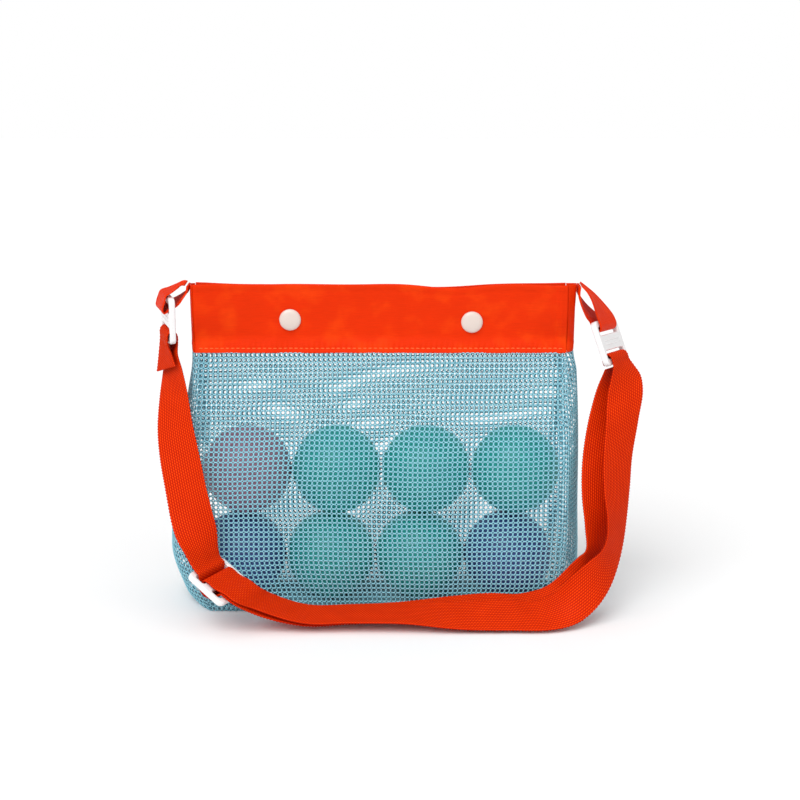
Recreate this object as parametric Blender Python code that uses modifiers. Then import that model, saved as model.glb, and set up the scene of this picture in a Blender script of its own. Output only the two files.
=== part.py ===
"""Mesh ball bag: a net pouch of balls with a satin mouth band, two snaps and a webbing shoulder strap.

All sizes below are in millimetres and are turned into metres when a mesh is made. The bag stands on
z = 0 with its front towards -Y. X runs along its width, and the origin is the middle of its base.
"""
import math

import bmesh
import bpy
import numpy as np
from mathutils import Matrix, Vector

MM = 0.001

# Driving dimensions of the pouch
HALF_WIDTH = 108.5          # seam to seam half width at the band
BAG_HEIGHT = 193.0
BAND_BOTTOM = 153.0         # the band is 41 mm tall
MESH_THICKNESS = 0.8
BAND_THICKNESS = 0.9
FIT_GAP = 0.3               # clearance that keeps touching solids apart
SEAM_GAP = 0.6              # a side panel stops this far short of the front and back panels

# (height, half depth) of the pouch: round over the balls, then closing to a flat mouth
HALF_DEPTHS = [(0, 25.6), (12, 27.8), (30, 28.7), (60, 28.7), (90, 28.3), (110, 22.8), (132, 14.8),
               (153, 7.4), (163, 3.6), (180, 3.5), (BAG_HEIGHT, 3.5)]
# (height, seam x) of the two upright seams, whose bottom corners are drawn in
LEFT_SEAM = [(0, -101.5), (10, -105.5), (36, -112.3), (60, -112.3), (100, -110.5),
             (BAND_BOTTOM, -HALF_WIDTH), (BAG_HEIGHT, -HALF_WIDTH)]
RIGHT_SEAM = [(0, 103.0), (20, 107.5), (60, 109.0), (100, 109.0),
              (BAND_BOTTOM, HALF_WIDTH), (BAG_HEIGHT, HALF_WIDTH)]
# (height, outward swell) of the side panels
LEFT_SWELL = [(0, 10.0), (6, 13.0), (20, 13.5), (45, 12.8), (90, 8.0), (128, 4.0), (150, 1.4), (BAG_HEIGHT, 1.6)]
RIGHT_SWELL = [(0, 8.0), (20, 10.0), (60, 8.0), (100, 7.5), (140, 6.2), (153, 4.0), (176, 4.0), (186, 4.6),
               (BAG_HEIGHT, 5.2)]
# The band's corners stand further apart than its middle
CORNER_FLARE = 4.8
FLARE_START = 66.0

# Balls: four under, four on top of them
BALL_DIAMETER = 52.6
BALL_PITCH = 53.1
UNDER_ROW_X = -3.8          # middle of the lower row
TOP_ROW_X = 0.2             # middle of the upper row
UNDER_ROW_Z = MESH_THICKNESS + FIT_GAP + BALL_DIAMETER / 2

# Snaps
SNAPS = [("left", -52.5, 171.6), ("right", 53.1, 170.2)]   # name, x, z
SNAP_CAP_RADIUS = 6.3
SNAP_CAP_HEIGHT = 2.6

# Strap webbing, ribbon tabs and the three-bar rings
WEBBING_WIDTH = 25.0
WEBBING_THICKNESS = 1.4
RIBBON_THICKNESS = 0.8
RING_LENGTH = 27.0          # along the strap
RING_WIDTH = 32.0           # across the strap
RING_THICKNESS = 3.5
RING_BAR = 4.0
RING_PLATE = 9.4
SLIDER_PLATE = 6.6
RING_SLOT_WIDTH = 26.2
BAR_PLACE = (RING_LENGTH - RING_BAR) / 2
# How far a webbing or ribbon centreline keeps off a bar's face
WEBBING_OFF_BAR = RING_THICKNESS / 2 + FIT_GAP + WEBBING_THICKNESS / 2 + 0.15
RIBBON_OFF_BAR = RING_THICKNESS / 2 + FIT_GAP + RIBBON_THICKNESS / 2 + 0.15

ORANGE = (0.88, 0.045, 0.002)
NET_BLUE = (0.33, 0.60, 0.68)
WHITE = (0.86, 0.84, 0.84)
BALL_COLOURS = {"mauve": (0.52, 0.30, 0.40), "teal": (0.06, 0.62, 0.52), "blue": (0.10, 0.25, 0.62)}


# ---------------------------------------------------------------- curves

def hermite(knots, rows, slopes, at):
    """Cubic pieces through the rows at their knots, read at the places in at."""
    piece = np.clip(np.searchsorted(knots, at, side="right") - 1, 0, len(knots) - 2)
    length = (knots[piece + 1] - knots[piece])[:, None]
    t = (at[:, None] - knots[piece][:, None]) / length
    start = (2 * t**3 - 3 * t**2 + 1) * rows[piece] + (t**3 - 2 * t**2 + t) * length * slopes[piece]
    end = (3 * t**2 - 2 * t**3) * rows[piece + 1] + (t**3 - t**2) * length * slopes[piece + 1]
    return start + end


def value_at(table, place):
    """Read a table of (place, value) pairs through a smooth curve that never overshoots them."""
    places, values = np.array(table, dtype=float).T
    rises = np.diff(values) / np.diff(places)
    slopes = np.concatenate(([rises[0]], np.zeros(len(rises) - 1), [rises[-1]]))
    for i in range(1, len(rises)):
        if rises[i - 1] * rises[i] > 0:
            slopes[i] = 2 * rises[i - 1] * rises[i] / (rises[i - 1] + rises[i])
    return float(hermite(places, values[:, None], slopes[:, None], np.array([float(place)]))[0, 0])


def route_through(rows, pieces_per_row=3):
    """Return rows along a smooth curve through the given rows, closer together where those are close."""
    rows = np.array(rows, dtype=float)
    steps = np.linalg.norm(np.diff(rows[:, :3], axis=0), axis=1)
    knots = np.concatenate(([0.0], np.cumsum(steps)))
    slopes = np.gradient(rows, knots, axis=0)
    last = len(rows) - 1
    at = np.interp(np.linspace(0, last, last * pieces_per_row + 1), np.arange(last + 1), knots)
    return hermite(knots, rows, slopes, at)


def smoothstep(start, end, place):
    t = min(max((place - start) / (end - start), 0.0), 1.0)
    return t * t * (3 - 2 * t)


# ---------------------------------------------------------------- the pouch's surfaces

def half_depth(x, z):
    """Distance from the middle plane to the front or back panel."""
    flare = CORNER_FLARE * smoothstep(FLARE_START, HALF_WIDTH, abs(x))
    return value_at(HALF_DEPTHS, z) + flare * smoothstep(BAND_BOTTOM, BAND_BOTTOM + 25, z)


def face_panel_point(side, u, z, inset=0.0):
    """Point of the front (side -1) or back (side +1) panel: u runs 0 to 1 from the left to the right seam."""
    left = value_at(LEFT_SEAM, z) + inset
    right = value_at(RIGHT_SEAM, z) - inset
    x = left + (right - left) * u
    return (x, side * half_depth(x, z), z)


def side_panel_point(side, v, z, end_gap=SEAM_GAP):
    """Point of the left (side -1) or right (side +1) panel: v runs 0 to 1 from the front to the back seam."""
    seam = value_at(LEFT_SEAM if side < 0 else RIGHT_SEAM, z)
    swell = value_at(LEFT_SWELL if side < 0 else RIGHT_SWELL, z)
    across = 2 * v - 1
    reach = half_depth(seam, z) - MESH_THICKNESS / 2 - end_gap
    return (seam + side * swell * (1 - across * across), across * reach, z)


# ---------------------------------------------------------------- objects

def plain_material(name, colour, roughness):
    material = bpy.data.materials.new(name)
    material.use_nodes = True
    shader = material.node_tree.nodes["Principled BSDF"]
    shader.inputs["Base Color"].default_value = (*colour, 1.0)
    shader.inputs["Roughness"].default_value = roughness
    return material


def object_from_bmesh(name, shape, colour, roughness, smooth=True):
    mesh = bpy.data.meshes.new(name)
    shape.to_mesh(mesh)
    shape.free()
    if smooth:
        mesh.shade_smooth()
    mesh.materials.append(plain_material(name, colour, roughness))
    thing = bpy.data.objects.new(name, mesh)
    bag_parts.objects.link(thing)
    return thing


def cloth(name, point_rule, columns, rows, thickness, colour, roughness):
    """A sheet: a flat grid bent to point_rule(u, v), both 0 to 1, and thickened equally to both sides."""
    shape = bmesh.new()
    bmesh.ops.create_grid(shape, x_segments=columns, y_segments=rows, size=0.5)
    for vertex in shape.verts:
        vertex.co = Vector(point_rule(vertex.co.x + 0.5, vertex.co.y + 0.5)) * MM
    thing = object_from_bmesh(name, shape, colour, roughness)
    solidify = thing.modifiers.new("Thickness", "SOLIDIFY")
    solidify.thickness = thickness * MM
    solidify.offset = 0.0
    return thing


def ribbon(name, rows, thickness, colour):
    """A flat strip along a route. Each row is x, y, z, the direction across the strip, and its width."""
    route = route_through(rows)
    pieces = len(route) - 1

    def point(u, v):
        row = route[round(u * pieces)]
        across = row[3:6] / np.linalg.norm(row[3:6])
        return row[:3] + across * row[6] * (v - 0.5)

    return cloth(name, point, pieces, 2, thickness, colour, 0.6)


def turned(name, profile, place, facing, colour):
    """A turned piece: (radius, height) points about its own Z, which is then laid along facing."""
    shape = bmesh.new()
    corners = [shape.verts.new((radius * MM, 0.0, height * MM)) for radius, height in profile]
    for first, second in zip(corners, corners[1:]):
        shape.edges.new((first, second))
    thing = object_from_bmesh(name, shape, colour, 0.25, smooth=False)
    screw = thing.modifiers.new("Turn", "SCREW")
    screw.steps = 24
    screw.render_steps = 24
    screw.use_merge_vertices = True
    screw.merge_threshold = 0.00001
    screw.use_smooth_shade = True
    thing.rotation_euler = Vector(facing).to_track_quat("Z", "Y").to_euler()
    thing.location = Vector(place) * MM
    return thing


# ---------------------------------------------------------------- mesh pouch

def build_mesh_panels():
    top = BAND_BOTTOM - 0.6
    low = 0.3

    def height(share):
        return low + (top - low) * share

    for name, side in (("front_mesh_panel", -1), ("back_mesh_panel", 1)):
        cloth(name, lambda u, v, side=side: face_panel_point(side, u, height(v)),
              6, 22, MESH_THICKNESS, NET_BLUE, 0.5)
    for name, side in (("left_mesh_gusset", -1), ("right_mesh_gusset", 1)):
        cloth(name, lambda u, v, side=side: side_panel_point(side, u, height(v)),
              6, 16, MESH_THICKNESS, NET_BLUE, 0.5)

    def bottom_point(u, v):
        depth = HALF_DEPTHS[0][1] - MESH_THICKNESS / 2 - SEAM_GAP
        left = side_panel_point(-1, v, 0.0)[0] + MESH_THICKNESS
        right = side_panel_point(1, v, 0.0)[0] - MESH_THICKNESS
        return (left + (right - left) * u, (2 * v - 1) * depth, MESH_THICKNESS / 2)

    cloth("bottom_mesh_panel", bottom_point, 4, 6, MESH_THICKNESS, NET_BLUE, 0.5)


def build_seam_allowances():
    """The turned-in edges that are sewn together inside each upright corner."""
    allowance = 4.0
    for side_name, side, seam in (("left", -1, LEFT_SEAM), ("right", 1, RIGHT_SEAM)):
        for face_name, face in (("front", -1), ("back", 1)):

            def point(u, v, side=side, face=face, seam=seam):
                z = 3.0 + (BAND_BOTTOM - 6.0) * v
                x = value_at(seam, z) - side * (1.6 + allowance * u)
                depth = half_depth(x, z) - MESH_THICKNESS - FIT_GAP - 0.15
                return (x, face * depth, z)

            cloth(f"{face_name}_{side_name}_seam_allowance", point, 1, 18, 0.7, NET_BLUE, 0.6)


def build_bands():
    top = BAG_HEIGHT
    low = BAND_BOTTOM
    for name, side in (("front_band", -1), ("back_band", 1)):
        band = cloth(name, lambda u, v, side=side: face_panel_point(side, u, low + (top - low) * v, 0.3),
                     14, 8, BAND_THICKNESS, ORANGE, 0.45)
        set_origin(band, (0.0, side * value_at(HALF_DEPTHS, low), low))
    for name, side in (("left_side_band", -1), ("right_side_band", 1)):
        cloth(name, lambda u, v, side=side: side_panel_point(side, u, low + (top - low) * v, 0.7),
              6, 8, BAND_THICKNESS, ORANGE, 0.45)


def set_origin(thing, place):
    """Move an object's origin to a place on its joint's axis without moving its shape."""
    offset = Vector(place) * MM
    thing.data.transform(Matrix.Translation(-offset))
    thing.location = offset


# ---------------------------------------------------------------- snaps

def dome(radius, height, base):
    """Profile of a shallow cap, from the top of its dome to the middle of its flat underside."""
    steps = 6
    points = []
    for i in range(steps + 1):
        angle = math.pi / 2 * (1 - i / steps)
        points.append((radius * math.cos(angle), base + 0.5 + (height - 0.5) * math.sin(angle)))
    points[0] = (0.0, base + height)
    return points + [(radius, base), (0.0, base)]


def build_snaps():
    socket_profile = [(0.0, 0.7), (2.5, 0.7), (2.5, 2.3), (5.2, 2.1), (5.4, 0.0), (0.0, 0.0)]
    stud_profile = [(0.0, 3.9), (1.5, 3.8), (1.9, 3.2), (1.7, 1.0), (4.8, 0.9), (5.0, 0.0), (0.0, 0.0)]
    cap_profile = dome(SNAP_CAP_RADIUS, SNAP_CAP_HEIGHT, 0.0)
    for name, x, z in SNAPS:
        outer_face = value_at(HALF_DEPTHS, z) + BAND_THICKNESS / 2 + FIT_GAP
        inner_face = value_at(HALF_DEPTHS, z) - BAND_THICKNESS / 2 - FIT_GAP
        turned(f"{name}_snap_cap", cap_profile, (x, -outer_face, z), (0, -1, 0), WHITE)
        turned(f"{name}_snap_socket", socket_profile, (x, -inner_face, z), (0, 1, 0), WHITE)
        turned(f"{name}_snap_stud", stud_profile, (x, inner_face, z), (0, -1, 0), WHITE)
        turned(f"{name}_snap_back_cap", cap_profile, (x, outer_face, z), (0, 1, 0), WHITE)


# ---------------------------------------------------------------- three-bar rings

class Ring:
    """A three-bar ring's frame: its middle, its directions along and across the strap, its outer face
    and the length of its middle plate."""

    def __init__(self, middle, along, across, outward_sign, plate):
        self.middle = Vector(middle)
        self.along = Vector(along).normalized()
        self.across = Vector(across)
        self.across -= self.along * self.across.dot(self.along)
        self.across.normalize()
        self.outward = self.along.cross(self.across) * outward_sign
        self.plate = plate

    def row(self, along, outward, width, shift=0.0):
        """Route row at a place given along the ring and out of its face."""
        place = self.middle + self.along * along + self.outward * outward + self.across * shift
        return (*place, *self.across, width)


LEFT_RING = Ring((-123.8, 0.0, 172.3), (0, 0, -1), (-0.292, 0.956, 0), -1, RING_PLATE)
RIGHT_RING = Ring((134.0, 0.0, 157.7), (0.31, -0.25, -0.9), (0.5, 0.86, -0.1), 1, RING_PLATE)
SLIDER = Ring((-92.0, -49.0, 27.0), (0.74, -0.42, -0.52), (-0.5, -0.83, -0.04), -1, SLIDER_PLATE)


def rounded_loop(width, length, middle, radius):
    """Corner points of a rounded rectangle centred at (0, middle)."""
    points = []
    for corner, (sx, sy) in enumerate(((1, 1), (-1, 1), (-1, -1), (1, -1))):
        for step in range(4):
            angle = math.radians(90 * corner + 30 * step)
            x = sx * (width / 2 - radius) + radius * math.cos(angle)
            y = middle + sy * (length / 2 - radius) + radius * math.sin(angle)
            points.append((x, y))
    return points


def build_ring(name, ring):
    """A flat moulded frame with two slots, drawn as an outline with two holes and extruded."""
    slot = (RING_LENGTH - 2 * RING_BAR - ring.plate) / 2
    slot_middle = ring.plate / 2 + slot / 2
    loops = [rounded_loop(RING_WIDTH, RING_LENGTH, 0.0, 3.0),
             rounded_loop(RING_SLOT_WIDTH, slot, slot_middle, 1.0),
             rounded_loop(RING_SLOT_WIDTH, slot, -slot_middle, 1.0)]
    outline = bpy.data.curves.new(name, "CURVE")
    outline.dimensions = "2D"
    outline.fill_mode = "BOTH"
    outline.extrude = RING_THICKNESS / 2 * MM
    for loop in loops:
        spline = outline.splines.new("POLY")
        spline.points.add(len(loop) - 1)
        for point, (x, y) in zip(spline.points, loop):
            point.co = (x * MM, y * MM, 0.0, 1.0)
        spline.use_cyclic_u = True
    outline.materials.append(plain_material(name, WHITE, 0.25))
    thing = bpy.data.objects.new(name, outline)
    bag_parts.objects.link(thing)
    facing = ring.across.cross(ring.along)
    turn = Matrix((ring.across, ring.along, facing)).transposed().to_4x4()
    thing.matrix_world = Matrix.Translation(ring.middle * MM) @ turn
    return thing


# ---------------------------------------------------------------- tabs and strap

def wrap_rows(ring, bar, slot_way, off_bar, width, first_face):
    """Rows that carry a strip round one bar: down one face, through the slot and up the other face.

    bar is the bar's place along the ring, slot_way is +1 or -1 towards the slot, and first_face is
    +1 to start on the outer face.
    """
    arc_middle = RING_BAR / 2 - 0.2
    places = [(-1.2, off_bar)]
    for step in range(5):
        angle = math.pi / 2 - step * math.pi / 4
        places.append((arc_middle + off_bar * math.cos(angle), off_bar * math.sin(angle)))
    places.append((-1.2, -off_bar))
    return [ring.row(bar + slot_way * along, first_face * out, width) for along, out in places]


def build_tabs():
    """Ribbon loops that hold the rings: sewn to the top of each side band, both ends together."""
    sewn = 14.0
    full = 24.5
    left_rows = [(-111.4, 0.0, 191.5, 0, 1, 0, sewn), (-111.9, 0.0, 188.2, 0, 1, 0, 15.0),
                 (-115.2, 0.0, 184.6, -0.12, 1, 0, 19.0), (-119.0, 0.2, 181.6, -0.25, 0.97, 0, 23.0)]
    loose_loop = [(4.1, -1.6), (4.6, 0.0), (5.3, 1.5), (6.8, 3.0), (7.2, 4.0), (6.2, 4.8), (3.0, 4.5), (0.4, 3.6)]
    left_rows += [LEFT_RING.row(-BAR_PLACE + along, outward, full) for along, outward in loose_loop]
    left_rows += [(-126.2, -0.6, 186.4, -0.27, 0.96, 0, 23.5), (-122.2, -0.4, 188.4, -0.2, 1, 0, 21.0),
                  (-118.0, -0.2, 190.8, -0.1, 1, 0, 17.5), (-114.4, 0.0, 192.6, 0, 1, 0, 15.0),
                  (-112.7, 0.0, 192.3, 0, 1, 0, sewn)]
    ribbon("left_tab", left_rows, RIBBON_THICKNESS, ORANGE)

    right_rows = [(115.3, 0.0, 191.2, 0, 1, 0, sewn), (115.0, 0.0, 187.0, 0, 1, 0, 15.0),
                  (117.4, 0.5, 180.5, 0.15, 1, 0, 18.0), (122.6, 2.2, 173.5, 0.35, 0.93, -0.05, 22.5)]
    right_rows += wrap_rows(RIGHT_RING, -BAR_PLACE, 1, RIBBON_OFF_BAR, full, -1)
    right_rows += [(128.5, 0.8, 177.0, 0.4, 0.9, -0.05, 23.0), (123.2, 0.2, 184.8, 0.2, 1, 0, 19.0),
                   (118.9, 0.0, 189.4, 0.05, 1, 0, 16.0), (116.5, 0.0, 191.7, 0, 1, 0, 15.0)]
    ribbon("right_tab", right_rows, RIBBON_THICKNESS, ORANGE)


# Centres of the strap's outer run, from the slider along the ground to the right ring, each with the
# direction from its upper to its lower edge. The strip lies flat, then stands on its edge, then climbs.
OUTER_RUN = [(-66.3, -52.5, 15.8, -0.38, -0.92, -0.02), (-44.0, -50.5, 7.9, -0.1, -0.99, -0.08),
             (-16.0, -49.5, 7.5, -0.02, -1.0, -0.09), (15.0, -50.0, 8.0, -0.02, -0.99, -0.16),
             (44.0, -51.0, 7.0, 0.0, -0.95, -0.32), (73.5, -51.0, 7.4, 0.04, -0.9, -0.43),
             (96.0, -50.5, 7.4, 0.14, -0.9, -0.42), (105.0, -49.5, 10.6, 0.22, -0.76, -0.61),
             (115.5, -49.0, 18.5, 0.38, -0.3, -0.87), (125.5, -48.0, 29.5, 0.5, 0.25, -0.83),
             (131.8, -45.5, 39.5, 0.5, 0.65, -0.57), (135.0, -43.0, 49.5, 0.5, 0.8, -0.33),
             (136.4, -39.0, 61.0, 0.55, 0.81, -0.2), (136.5, -34.0, 78.5, 0.69, 0.71, -0.1),
             (137.2, -28.5, 95.0, 0.75, 0.65, -0.08), (140.0, -21.0, 114.0, 0.83, 0.55, 0.02),
             (142.3, -13.5, 132.0, 0.88, 0.48, 0.04), (142.6, -10.0, 139.5, 0.76, 0.65, -0.04),
             (141.5, -6.9, 144.4, 0.58, 0.81, -0.08)]
# The inner run comes back beside it to the slider
INNER_RUN = [(135.0, -9.0, 130.8, 0.84, 0.54, 0.03), (131.6, -16.0, 113.5, 0.93, 0.36, 0.0),
             (128.8, -24.0, 93.6, 0.97, 0.25, 0.0), (127.4, -30.0, 74.2, 0.91, 0.4, -0.1),
             (127.2, -35.0, 55.6, 0.77, 0.62, -0.15), (125.6, -39.0, 40.0, 0.64, 0.66, -0.4),
             (119.5, -41.5, 28.5, 0.5, 0.15, -0.85), (111.5, -41.5, 19.0, 0.32, -0.45, -0.83),
             (102.0, -41.0, 12.0, 0.2, -0.78, -0.59), (84.3, -41.2, 8.0, 0.08, -0.92, -0.38),
             (63.6, -41.2, 8.3, 0.0, -0.93, -0.36), (44.0, -41.5, 7.3, 0.0, -0.95, -0.31),
             (15.0, -43.2, 6.2, 0.0, -0.99, -0.15), (-16.0, -44.5, 5.1, 0.0, -1.0, -0.08),
             (-44.0, -48.5, 5.4, -0.1, -0.99, -0.07), (-67.7, -52.5, 13.2, -0.38, -0.92, -0.02)]
# From the slider up to the left ring, twisting from facing the front to facing left
LEFT_RUN = [(-103.0, -43.0, 43.0, -0.68, -0.7, 0.1), (-107.5, -38.5, 57.0, -0.93, -0.2, -0.05),
            (-111.7, -34.5, 75.5, -0.98, 0.1, 0.0), (-115.4, -30.0, 94.0, -0.96, 0.22, -0.08),
            (-118.6, -24.0, 112.6, -0.88, 0.42, -0.22), (-120.2, -15.5, 130.5, -0.72, 0.62, -0.3),
            (-121.3, -8.5, 142.0, -0.55, 0.77, -0.3), (-122.0, -4.2, 150.5, -0.4, 0.88, -0.22)]
LEFT_SEWN_END = [(-125.6, -5.6, 151.0, -0.42, 0.87, -0.24), (-124.6, -9.4, 143.5, -0.55, 0.77, -0.3)]


def with_width(rows, width=WEBBING_WIDTH):
    return [(*row, width) for row in rows]


def slider_rows(places):
    """Rows inside the slider, each given along it and out of its face."""
    return [SLIDER.row(along, outward, WEBBING_WIDTH) for along, outward in places]


def build_strap():
    """One length of webbing, in two strips: the run sewn to the slider and the run that passes through it."""
    sewn_loop = [(2.0, -2.95), (-2.8, -2.95), (-4.2, -2.35), (-4.75, 0.0), (-4.2, 2.35), (-2.8, 2.95),
                 (3.0, 3.1), (11.5, 5.3), (16.0, 5.6)]
    outer_rows = slider_rows(sewn_loop) + with_width(OUTER_RUN)
    outer_rows += wrap_rows(RIGHT_RING, BAR_PLACE, -1, WEBBING_OFF_BAR, WEBBING_WIDTH, 1)
    ribbon("strap_outer_run", outer_rows, WEBBING_THICKNESS, ORANGE)

    through_slider = [(16.0, 3.6), (11.5, 3.3), (9.0, 3.0), (7.2, 0.6), (5.6, -2.6), (3.2, -4.8),
                      (-3.6, -4.9), (-6.2, -2.9), (-7.5, 0.6), (-9.0, 3.0), (-11.5, 3.3)]
    inner_start = RIGHT_RING.row(BAR_PLACE + 3.2, -WEBBING_OFF_BAR, WEBBING_WIDTH)
    inner_rows = [inner_start] + with_width(INNER_RUN) + slider_rows(through_slider) + with_width(LEFT_RUN)
    inner_rows += wrap_rows(LEFT_RING, BAR_PLACE, -1, WEBBING_OFF_BAR, WEBBING_WIDTH, -1)
    inner_rows += with_width(LEFT_SEWN_END)
    ribbon("strap_inner_run", inner_rows, WEBBING_THICKNESS, ORANGE)


# ---------------------------------------------------------------- balls

def build_balls():
    lean = TOP_ROW_X - UNDER_ROW_X
    top_row_z = UNDER_ROW_Z + math.sqrt(BALL_PITCH**2 - lean**2)
    rows = (("under", UNDER_ROW_X, UNDER_ROW_Z, ("blue", "teal", "teal", "blue")),
            ("top", TOP_ROW_X, top_row_z, ("mauve", "teal", "teal", "teal")))
    for row_name, middle, z, colours in rows:
        for number, colour in enumerate(colours):
            shape = bmesh.new()
            bmesh.ops.create_uvsphere(shape, u_segments=18, v_segments=10, radius=BALL_DIAMETER / 2 * MM)
            ball = object_from_bmesh(f"{row_name}_ball_{number + 1}", shape, BALL_COLOURS[colour], 0.35)
            ball.location = Vector((middle + (number - 1.5) * BALL_PITCH, 0.0, z)) * MM


def clear_scene():
    for thing in list(bpy.data.objects):
        bpy.data.objects.remove(thing, do_unlink=True)


clear_scene()
bag_parts = bpy.data.collections.new("mesh_ball_bag")
bpy.context.scene.collection.children.link(bag_parts)
build_mesh_panels()
build_seam_allowances()
build_bands()
build_snaps()
build_ring("left_ring", LEFT_RING)
build_ring("right_ring", RIGHT_RING)
build_ring("adjuster_slider", SLIDER)
build_tabs()
build_strap()
build_balls()
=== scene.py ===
"""Looks of the mesh ball bag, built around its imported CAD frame.

Sizes are in millimetres, as in part.py, and each mesh is turned into metres when it is made. The front
faces -Y, z = 0 is the ground, and the origin is the middle of the bag's base.
"""
import math

import bpy
import numpy as np
from mathutils import Matrix, Vector


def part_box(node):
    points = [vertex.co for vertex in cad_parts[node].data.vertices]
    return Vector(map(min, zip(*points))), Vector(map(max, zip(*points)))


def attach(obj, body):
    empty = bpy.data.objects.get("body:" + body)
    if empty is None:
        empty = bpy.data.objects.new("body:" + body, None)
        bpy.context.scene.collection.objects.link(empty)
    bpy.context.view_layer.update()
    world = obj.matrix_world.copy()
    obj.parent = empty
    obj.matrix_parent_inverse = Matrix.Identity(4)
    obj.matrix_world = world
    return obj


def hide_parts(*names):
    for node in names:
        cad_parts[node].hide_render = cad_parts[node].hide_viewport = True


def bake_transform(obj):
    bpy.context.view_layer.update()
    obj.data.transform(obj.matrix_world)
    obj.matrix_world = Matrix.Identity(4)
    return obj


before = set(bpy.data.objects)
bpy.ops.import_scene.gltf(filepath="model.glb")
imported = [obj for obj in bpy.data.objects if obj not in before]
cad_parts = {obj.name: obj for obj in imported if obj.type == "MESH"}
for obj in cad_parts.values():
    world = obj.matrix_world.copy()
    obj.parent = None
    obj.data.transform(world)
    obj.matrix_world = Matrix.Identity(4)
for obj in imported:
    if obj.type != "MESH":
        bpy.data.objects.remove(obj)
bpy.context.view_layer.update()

MM = 0.001

# ---- sizes shared with the CAD model

HALF_WIDTH = 108.5
BAG_HEIGHT = 193.0
BAND_BOTTOM = 153.0
MESH_THICKNESS = 0.8
BAND_THICKNESS = 0.9
FIT_GAP = 0.3
SEAM_GAP = 0.6
HALF_DEPTHS = [(0, 25.6), (12, 27.8), (30, 28.7), (60, 28.7), (90, 28.3), (110, 22.8), (132, 14.8),
               (153, 7.4), (163, 3.6), (180, 3.5), (BAG_HEIGHT, 3.5)]
LEFT_SEAM = [(0, -101.5), (10, -105.5), (36, -112.3), (60, -112.3), (100, -110.5),
             (BAND_BOTTOM, -HALF_WIDTH), (BAG_HEIGHT, -HALF_WIDTH)]
RIGHT_SEAM = [(0, 103.0), (20, 107.5), (60, 109.0), (100, 109.0),
              (BAND_BOTTOM, HALF_WIDTH), (BAG_HEIGHT, HALF_WIDTH)]
LEFT_SWELL = [(0, 10.0), (6, 13.0), (20, 13.5), (45, 12.8), (90, 8.0), (128, 4.0), (150, 1.4),
              (BAG_HEIGHT, 1.6)]
RIGHT_SWELL = [(0, 8.0), (20, 10.0), (60, 8.0), (100, 7.5), (140, 6.2), (153, 4.0), (176, 4.0), (186, 4.6),
               (BAG_HEIGHT, 5.2)]
SEAMS = {-1: LEFT_SEAM, 1: RIGHT_SEAM}      # by side: -1 is left, 1 is right
SWELLS = {-1: LEFT_SWELL, 1: RIGHT_SWELL}
CORNER_FLARE = 4.8
FLARE_START = 66.0

BALL_DIAMETER = 52.6
SNAPS = [("left", -52.5, 171.6), ("right", 53.1, 170.2)]   # name, x, z
SNAP_CAP_RADIUS = 6.3
SNAP_CAP_HEIGHT = 2.6

WEBBING_WIDTH = 25.0
WEBBING_THICKNESS = 1.4
RIBBON_WIDTH = 24.5
RIBBON_SEWN_WIDTH = 14.0
RIBBON_THICKNESS = 0.8
RING_LENGTH = 27.0
RING_WIDTH = 32.0
RING_THICKNESS = 3.5
RING_BAR = 4.0
RING_PLATE = 9.4
SLIDER_PLATE = 6.6
RING_SLOT_WIDTH = 26.2
BAR_PLACE = (RING_LENGTH - RING_BAR) / 2
WEBBING_OFF_BAR = RING_THICKNESS / 2 + FIT_GAP + WEBBING_THICKNESS / 2 + 0.15
RIBBON_OFF_BAR = RING_THICKNESS / 2 + FIT_GAP + RIBBON_THICKNESS / 2 + 0.15

# ---- detail sizes

NET_PITCH = 2.85            # hole to hole, both ways
NET_HOLE_RADIUS = 0.99
NET_SMALL_HOLE = 0.60       # half diagonal of the small hole between four large ones
NET_CREST = 0.36            # a strand's half thickness midway between two large holes
NET_KNOT = 0.30             # its half thickness beside a small hole
WEAVE_PITCH = 1.7           # webbing picks along its length
WEAVE_ENDS = 18             # webbing warp cords across its width
WEAVE_RELIEF = 0.34
STITCH_PITCH = 3.1
STITCH_LENGTH = 2.3
STITCH_RADIUS = 0.34
STITCH_LIFT = 0.15
NET_LOW = 0.4
NET_TOP = BAND_BOTTOM - 0.2
BACK_LEAN = 9.0             # rise of the back net's rows from the left to the right seam
SEAM_ALLOWANCE = 4.0
BAND_LOW = BAND_BOTTOM - 0.3
BAND_DROP = 0.25            # how far the band's cloth and stitches hang below their own rows
STITCH_Z = BAND_BOTTOM + 2.4
SIDES = (("left", -1), ("right", 1))
FACES = (("front", -1), ("back", 1))

CAMERA_AIM = (11.3, 0.0, 122.5)
CAMERA_DISTANCE = 1000.0
CAMERA_ELEVATION = 14.0
CAMERA_VIEW_WIDTH = 472.0   # at the aim point
SENSOR_WIDTH = 36.0
AMBIENT_LIGHT = 0.5
# name, azimuth from the front, elevation, angular size in degrees, strength
SOFT_LIGHTS = [("key", -28.0, 48.0, 45.0, 1.9), ("fill", 40.0, 30.0, 60.0, 0.35),
               ("top", 0.0, 85.0, 50.0, 0.35)]

ORANGE = (0.79, 0.031, 0.0006)
NET_BLUE = (0.29, 0.63, 0.74)
WHITE = (0.88, 0.87, 0.87)
# the snaps' white is the white plastic made darker and warmer: painted shade
SHADED_SNAP_WHITE = (0.72, 0.61, 0.55)
BALL_COLOURS = {"mauve": (0.46, 0.23, 0.32), "teal": (0.025, 0.46, 0.40), "blue": (0.06, 0.11, 0.33)}
NO_TINT = (1.0, 1.0, 1.0)


# ---- curves

def unit(vectors):
    """The same directions, each of length 1."""
    return vectors / np.maximum(np.linalg.norm(vectors, axis=-1, keepdims=True), 1e-9)


def lengths_along(places):
    """Distance from the first place to each place, along the line through them."""
    return np.concatenate(([0.0], np.cumsum(np.linalg.norm(np.diff(places, axis=0), axis=1))))


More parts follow.
